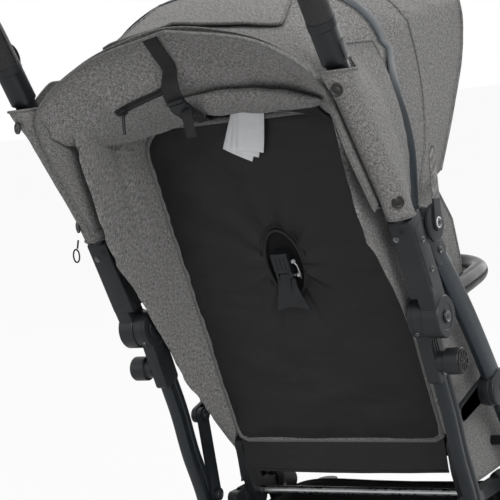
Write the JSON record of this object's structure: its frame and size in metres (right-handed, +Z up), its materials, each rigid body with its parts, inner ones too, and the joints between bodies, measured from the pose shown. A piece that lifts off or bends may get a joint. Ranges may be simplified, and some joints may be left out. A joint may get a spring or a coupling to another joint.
{
  "type": "folding pushchair",
  "caption": "Compact folding child pushchair with hinged canopy, reclining seat, swivel front wheels and a linked side frame that folds forward",
  "frame": {"origin": "on the floor, under the middle of the bounding box", "axes": "+X to the pushchair's right-hand side as seen from behind, +Y forward, +Z up"},
  "size_m": [0.495, 0.7954, 1.0545],
  "materials": {
    "frame_black": "fine-grained black moulding",
    "tube_black": "satin black coating",
    "frame_grey": "satin dark grey coating",
    "frame_blue": "satin blue-grey anodised",
    "steel": "plain",
    "satin": "satin",
    "grip": "black grained leatherette",
    "hub_grey": "grey moulding",
    "pedal_grey": "dark grey moulding",
    "tyre": "foam tyre, matt",
    "board": "plain",
    "fabric_grey": "grey melange weave",
    "nylon_black": "black nylon"
  },
  "bodies": {
    "chassis": {"pivot_hub_right": "frame_black", "pivot_hub_left": "frame_black", "rear_leg_right": "frame_grey", "rear_leg_left": "frame_grey", "rear_axle_tube": "steel"},
    "rear_wheel_right": {"rear_tyre_right": "tyre", "rear_wheel_hub_right": "hub_grey"},
    "rear_wheel_left": {"rear_tyre_left": "tyre", "rear_wheel_hub_left": "hub_grey"},
    "brake": {"brake_pedal": "pedal_grey"},
    "push_bar": {"push_casing_right": "frame_black", "push_casing_left": "frame_black", "push_tube_right": "tube_black", "push_tube_left": "tube_black", "hinge_cap_right": "frame_black", "hinge_cap_left": "frame_black", "side_sleeve_right": "fabric_grey", "side_sleeve_left": "fabric_grey", "handle_grip": "grip", "handle_housing": "frame_black"},
    "fold_release": {"fold_button": "hub_grey"},
    "front_frame": {"front_tube_right": "frame_blue", "front_tube_left": "frame_blue", "link_bracket_right": "frame_black", "link_bracket_left": "frame_black", "front_leg_right": "frame_black", "front_leg_left": "frame_black", "seat_bracket_right": "frame_black", "seat_bracket_left": "frame_black", "side_wing_right": "fabric_grey", "side_wing_left": "fabric_grey", "lateral_rod": "steel", "seat_bar": "tube_black", "footrest_bar": "tube_black", "seat_pan": "board", "seat_pad": "fabric_grey", "buckle": "frame_black", "basket": "fabric_grey", "canopy_shell": "fabric_grey"},
    "buckle_release": {"buckle_button": "hub_grey"},
    "link_right": {"link_bar_right": "frame_grey"},
    "link_left": {"link_bar_left": "frame_grey"},
    "bumper": {"bumper_bar": "grip"},
    "backrest": {"back_board": "board", "back_pad": "fabric_grey", "back_cover": "nylon_black", "recline_housing": "frame_black"},
    "recline_grip": {"recline_lever": "frame_black"},
    "leg_support": {"leg_rest": "fabric_grey"},
    "canopy_front": {"canopy_front_bow": "steel"},
    "canopy_mid": {"canopy_mid_bow": "steel", "bow_strap_right": "satin", "bow_strap_left": "satin"},
    "fork_right": {"front_fork_right": "frame_black"},
    "fork_left": {"front_fork_left": "frame_black"},
    "front_wheel_right": {"front_tyre_right": "tyre", "front_wheel_hub_right": "hub_grey"},
    "front_wheel_left": {"front_tyre_left": "tyre", "front_wheel_hub_left": "hub_grey"}
  },
  "joints": [
    {"name": "fold", "type": "hinge", "parent": "chassis", "child": "push_bar", "pos_m": [0, -0.08225, 0.535], "axis": [-1, 0, 0], "range_deg": [0, 110]},
    {"name": "frame_follow", "type": "hinge", "parent": "push_bar", "child": "front_frame", "pos_m": [0, -0.09025, 0.652], "axis": [1, 0, 0], "range_deg": [0, 110]},
    {"name": "link_turn_right", "type": "hinge", "parent": "chassis", "child": "link_right", "pos_m": [0.19375, 0.01175, 0.276], "axis": [-1, 0, 0], "range_deg": [0, 110]},
    {"name": "link_turn_left", "type": "hinge", "parent": "chassis", "child": "link_left", "pos_m": [-0.19375, 0.01175, 0.276], "axis": [-1, 0, 0], "range_deg": [0, 110]},
    {"name": "rear_wheel_turn_right", "type": "hinge", "parent": "chassis", "child": "rear_wheel_right", "pos_m": [0.229, -0.07725, 0.07], "axis": [1, 0, 0], "continuous": true},
    {"name": "rear_wheel_turn_left", "type": "hinge", "parent": "chassis", "child": "rear_wheel_left", "pos_m": [-0.229, -0.07725, 0.07], "axis": [1, 0, 0], "continuous": true},
    {"name": "brake_press", "type": "hinge", "parent": "chassis", "child": "brake", "pos_m": [0, -0.07725, 0.07], "axis": [1, 0, 0], "range_deg": [0, 20]},
    {"name": "fold_button_press", "type": "slide", "parent": "push_bar", "child": "fold_release", "axis": [0, 1, 0], "range_m": [0, 0.0025], "stiffness_N_per_m": 400},
    {"name": "recline", "type": "hinge", "parent": "front_frame", "child": "backrest", "pos_m": [0, 0.05175, 0.34], "axis": [1, 0, 0], "range_deg": [0, 40]},
    {"name": "recline_lever_pull", "type": "hinge", "parent": "backrest", "child": "recline_grip", "pos_m": [0, -0.04711, 0.59169], "axis": [-1, 0, 0], "range_deg": [0, 20], "stiffness_Nm_per_rad": 0.2},
    {"name": "bumper_lift", "type": "hinge", "parent": "front_frame", "child": "bumper", "pos_m": [0, 0.00775, 0.54], "axis": [1, 0, 0], "range_deg": [0, 45]},
    {"name": "leg_rest_lift", "type": "hinge", "parent": "front_frame", "child": "leg_support", "pos_m": [0, 0.29575, 0.34], "axis": [1, 0, 0], "range_deg": [0, 50]},
    {"name": "canopy_front_fold", "type": "hinge", "parent": "front_frame", "child": "canopy_front", "pos_m": [0, -0.09025, 0.652], "axis": [1, 0, 0], "range_deg": [0, 80], "deforming": ["canopy_shell"]},
    {"name": "canopy_mid_fold", "type": "hinge", "parent": "front_frame", "child": "canopy_mid", "pos_m": [0, -0.09025, 0.652], "axis": [1, 0, 0], "range_deg": [0, 40]},
    {"name": "buckle_press", "type": "slide", "parent": "front_frame", "child": "buckle_release", "axis": [0, -1, 0], "range_m": [0, 0.0025], "stiffness_N_per_m": 400},
    {"name": "swivel_right", "type": "hinge", "parent": "front_frame", "child": "fork_right", "pos_m": [0.208, 0.36275, 0.175], "axis": [0, 0, 1], "continuous": true},
    {"name": "swivel_left", "type": "hinge", "parent": "front_frame", "child": "fork_left", "pos_m": [-0.208, 0.36275, 0.175], "axis": [0, 0, 1], "continuous": true},
    {"name": "front_wheel_turn_right", "type": "hinge", "parent": "fork_right", "child": "front_wheel_right", "pos_m": [0.208, 0.33275, 0.065], "axis": [1, 0, 0], "continuous": true},
    {"name": "front_wheel_turn_left", "type": "hinge", "parent": "fork_left", "child": "front_wheel_left", "pos_m": [-0.208, 0.33275, 0.065], "axis": [1, 0, 0], "continuous": true}
  ],
  "couplings": [
    {"joint": "frame_follow", "follows": "fold", "ratio": 1},
    {"joint": "link_turn_right", "follows": "fold", "ratio": 1},
    {"joint": "link_turn_left", "follows": "fold", "ratio": 1},
    {"joint": "canopy_mid_fold", "follows": "canopy_front_fold", "ratio": 0.5}
  ]
}
